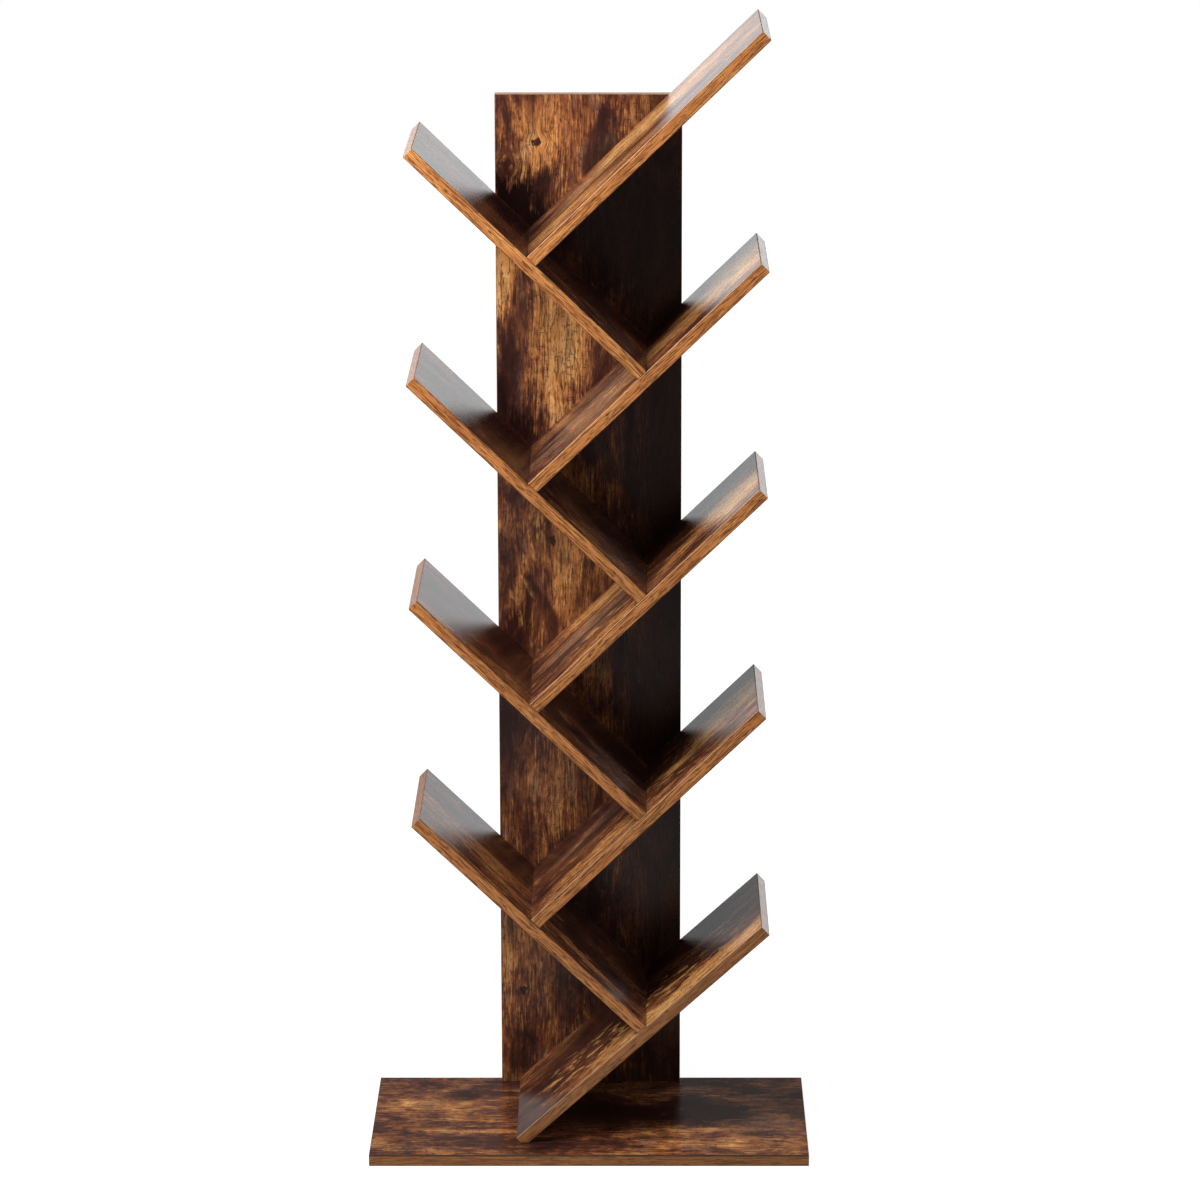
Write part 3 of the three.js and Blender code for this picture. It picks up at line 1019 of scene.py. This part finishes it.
def thread(tree, size, low, high):
    """The ridge of the thread, which fades out at both ends."""
    turns = (high - low) / size["Pitch"]
    helix = tree.node("GeometryNodeCurveSpiral", None, {
        "Resolution": THREAD_STEPS, "Rotations": turns, "Start Radius": size["Core radius"],
        "End Radius": size["Core radius"], "Height": high - low,
    })
    upright = tree.node("GeometryNodeSetCurveNormal", {"mode": "Z_UP"}, {0: helix})
    ridge = size["Thread radius"] - size["Core radius"]
    section = tree.node(
        "GeometryNodeCurvePrimitiveCircle", None, {"Resolution": 4, "Radius": ridge}
    )
    share = tree.node("GeometryNodeSplineParameter")
    turn = tree.lesser(share, 1 - share) * turns
    swept = tree.node("GeometryNodeCurveToMesh", None, {
        "Curve": upright, "Profile Curve": section, "Scale": tree.lesser(turn + THREAD_END, 1),
        "Fill Caps": True,
    })
    return lifted(tree, swept, low)


def set_out(tree, given, shape):
    """Puts the shape at each place, pointed along its direction, and ends the tree."""
    roll = tree.node("FunctionNodeRandomValue", {"data_type": "FLOAT"}, {
        2: 0.0, 3: 2 * math.pi, "Seed": ROLL_SEED,
    }, out=1)
    turned = tree.node("FunctionNodeEulerToRotation", None, {0: tree.vector(0, 0, roll)})
    direction = tree.node(
        "GeometryNodeInputNamedAttribute", {"data_type": "FLOAT_VECTOR"}, {"Name": "direction"}
    )
    pointed = tree.node("FunctionNodeAlignRotationToVector", {"axis": "Z"}, {
        "Rotation": turned, "Vector": direction,
    })
    placed = tree.node("GeometryNodeInstanceOnPoints", None, {
        "Points": given["Places"], "Instance": shape, "Rotation": pointed,
    })
    real = tree.node("GeometryNodeRealizeInstances", None, {0: placed})
    finished = tree.node(
        "GeometryNodeSetMaterial", None, {0: real, "Material": given["Material"]}
    )
    tree.node("NodeGroupOutput", None, {"Shapes": finished})


def screws_tree(sizes):
    """Countersunk screws with a hexagon socket or a cross recess."""
    tree, size, identifiers = geometry_tree("countersunk_screws", sizes)
    top = size["Sink"]
    neck_end = top + size["Neck length"]
    core_end = size["Length"] - size["Tip length"]
    neck_radius = size["Neck radius"]
    core_radius = size["Core radius"]
    under_head = top + size["Head height"]
    parts = [
        cone(tree, size["Head radius"], neck_radius, top, under_head),
        cone(tree, neck_radius, neck_radius, under_head - size["Head height"] * 0.5, neck_end),
        cone(tree, core_radius, core_radius, neck_end - core_radius, core_end),
        cone(tree, core_radius, core_radius * TIP_END, core_end, size["Length"]),
        thread(tree, size, neck_end + size["Pitch"] * 0.5, core_end),
    ]
    body = boolean(tree, "UNION", {1: parts})
    above = top - size["Head height"]
    drive_end = top + size["Drive depth"]
    radius = size["Drive radius"]
    hexagon = cone(tree, radius, radius, above, drive_end, sides=6)
    slots = [
        block(tree, radius * 2, radius * SLOT_WIDTH, above, drive_end),
        block(tree, radius * SLOT_WIDTH, radius * 2, above, drive_end),
    ]
    cross = boolean(tree, "UNION", {1: slots})
    drive = tree.node("GeometryNodeSwitch", None, {0: size["Cross drive"], 1: hexagon, 2: cross})
    set_out(tree, size, boolean(tree, "DIFFERENCE", {0: body, 1: drive}))
    return tree.tree, identifiers


def dowels_tree(sizes):
    """Fluted dowels with chamfered ends."""
    tree, size, identifiers = geometry_tree("fluted_dowels", sizes)
    end = tree.vector(0, 0, size["Length"])
    line = tree.node("GeometryNodeCurvePrimitiveLine", None, {"End": end})
    stepped = tree.node(
        "GeometryNodeResampleCurve", {"mode": "LENGTH"}, {0: line, "Length": size["Chamfer"]}
    )
    share = tree.node("GeometryNodeSplineParameter")
    from_end = tree.lesser(share, 1 - share) * size["Length"]
    narrowest = 1 - size["Chamfer"] / size["Radius"]
    scale = tree.lesser(narrowest + from_end / size["Radius"], 1)
    section = tree.node("GeometryNodeCurveStar", None, {
        "Points": size["Flutes"], "Inner Radius": size["Radius"] - size["Flute depth"],
        "Outer Radius": size["Radius"],
    })
    shape = tree.node("GeometryNodeCurveToMesh", None, {
        "Curve": stepped, "Profile Curve": section, "Scale": scale, "Fill Caps": True,
    })
    set_out(tree, size, shape)
    return tree.tree, identifiers


def place_fasteners(label, make_tree, sizes, material):
    """One piece of all the fasteners whose nodes' names start with the label."""
    chosen = [fastener for fastener in fasteners if fastener["node"].startswith(label)]
    places = bpy.data.meshes.new(label + "_places")
    places.from_pydata([fastener["start"] for fastener in chosen], [], [])
    directions = places.attributes.new("direction", "FLOAT_VECTOR", "POINT")
    for mark, fastener in zip(directions.data, chosen):
        mark.vector = fastener["direction"]
    piece = add_object(label + "s_finished", places)
    shapes = piece.modifiers.new("shapes", "NODES")
    shapes.node_group, identifiers = make_tree(sizes)
    shapes[identifiers["Material"]] = material
    for name, value in sizes.items():
        shapes[identifiers[name]] = value
    made = evaluated_mesh(piece)
    piece.modifiers.remove(shapes)
    piece.data = made
    bpy.data.meshes.remove(places)
    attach(piece, "root")
    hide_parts(*[fastener["node"] for fastener in chosen])


for label in ("panel_screw", "joint_screw", "base_screw"):
    place_fasteners(label, screws_tree, CONNECTOR, steel)
place_fasteners("foot_screw", screws_tree, FOOT_SCREW, steel)
for label in ("joint_dowel", "base_dowel"):
    place_fasteners(label, dowels_tree, DOWEL, beech)


# The studio. Levels of light are shares of white
ROOM = 0.14
ROOM_LESS_IN_MIRRORS = 0.09
ROOM_MORE_ON_THE_RIGHT = 0.34
BACKDROP = 0.87
UNMIRRORED_BACKDROP = 0.45
FLOOR_NEAR = 0.92
MIRRORED_TINT = (0.95, 0.98, 1.0, 1)
WHITE = (1, 1, 1, 1)
FLOOR_GREY = (0.25, 0.25, 0.25, 1)
FLOOR_HALF_SIZE = 8.0
FLOOR_BELOW = 0.0004

KEY_PLACE = Vector((-1.20, -0.85, 2.05))
KEY_TARGET = Vector((0, 0, 0.75))
KEY_SIZE = 0.95
KEY_POWER = 57

CAMERA_PLACE = (0.0588, -5.289, 2.0848)
CAMERA_DOWN_DEGREES = 14.087
CAMERA_LENS = 132.17
CAMERA_SENSOR = 36
CAMERA_SHIFT = (-0.03, -0.04)


def ray_kinds(tree):
    """1 for a ray from the camera, and 1 for one that the object mirrors or lets through."""
    path = tree.node("ShaderNodeLightPath").socket.node
    kinds = ("Is Camera Ray", "Is Glossy Ray", "Is Transmission Ray")
    camera, glossy, transmission = [Signal(tree, path.outputs[kind]) for kind in kinds]
    return camera, glossy + transmission


def make_world():
    """White where the camera looks, a bright backdrop behind the object and a dim room in front."""
    world = bpy.data.worlds.new("studio")
    bpy.context.scene.world = world
    tree = shader_tree(world)
    camera, seen = ray_kinds(tree)
    x, y, z = tree.parts(tree.node("ShaderNodeTexCoord"))

    # The backdrop, as the boards mirror it, is brightest low down and near the middle
    behind = tree.smooth(y, -0.35, 0.45)
    right = 0.04 + 0.96 * tree.smooth(x, -0.46, -0.10)
    low_right = tree.smooth(z, 0.0, -0.03) * tree.smooth(x, 0.02, 0.12)
    middle = tree.smooth(tree.maths("ABSOLUTE", x), 0.30, 0.10)
    mirrored = (1.19 - 1.17 * tree.smooth(z, 0.06, 0.28)) * (1 + 0.36 * middle)
    mirrored = mirrored * (1 + 0.36 * low_right)
    backdrop = UNMIRRORED_BACKDROP + seen * (mirrored - UNMIRRORED_BACKDROP)

    from_right = (1 - seen) * tree.smooth(x, 0.1, 0.9)
    room = ROOM - ROOM_LESS_IN_MIRRORS * seen + ROOM_MORE_ON_THE_RIGHT * from_right
    room = room + BACKDROP * behind * right * backdrop
    strength = camera + (1 - camera) * room
    color = tree.mix(seen, WHITE, MIRRORED_TINT)
    background = tree.node("ShaderNodeBackground", None, {"Color": color, "Strength": strength})
    tree.node("ShaderNodeOutputWorld", None, {"Surface": background})


def make_floor():
    """A pale floor that shows white to the camera and keeps the bookshelf's soft shadow."""
    material, tree = new_material("studio_floor")
    camera, seen = ray_kinds(tree)
    place = object_place(tree)
    x, y, _ = tree.parts(place)
    far = tree.smooth(tree.length(place), 0.6, 2.2)
    behind = tree.smooth(y, 0.2, 1.2)
    across = 0.25 + 0.75 * tree.smooth(x, -0.7, 0.1) + 0.22 * tree.smooth(x, 0.4, 1.4)
    mirrored = 0.05 + 1.15 * behind * across
    strength = camera * (FLOOR_NEAR + (1 - FLOOR_NEAR) * far) + seen * mirrored
    glow = tree.node("ShaderNodeEmission", None, {"Color": WHITE, "Strength": strength})
    paint = tree.node("ShaderNodeBsdfDiffuse", None, {"Color": FLOOR_GREY})
    surface = tree.node("ShaderNodeAddShader", None, {0: glow, 1: paint})
    tree.node("ShaderNodeOutputMaterial", None, {"Surface": surface})

    mesh = bmesh.new()
    bmesh.ops.create_grid(mesh, x_segments=1, y_segments=1, size=FLOOR_HALF_SIZE)
    bmesh.ops.translate(mesh, verts=mesh.verts, vec=(0, 0, -FLOOR_BELOW))
    data = mesh_data(mesh, "floor")
    data.materials.append(material)
    floor = add_object("floor", data)


def add_key_light():
    light = bpy.data.lights.new("key_softbox", "AREA")
    light.shape = "SQUARE"
    light.size = KEY_SIZE
    light.energy = KEY_POWER
    lamp = add_object("key_softbox", light)
    lamp.location = KEY_PLACE
    lamp.rotation_euler = (KEY_TARGET - KEY_PLACE).to_track_quat("-Z", "Y").to_euler()


def add_camera():
    data = bpy.data.cameras.new("camera")
    data.sensor_width = CAMERA_SENSOR
    data.lens = CAMERA_LENS
    data.shift_x, data.shift_y = CAMERA_SHIFT
    camera = add_object("camera", data)
    camera.location = CAMERA_PLACE
    camera.rotation_euler = (math.radians(90 - CAMERA_DOWN_DEGREES), 0, 0)
    bpy.context.scene.camera = camera


make_world()
make_floor()
add_key_light()
add_camera()
bpy.context.scene.view_settings.view_transform = "Standard"
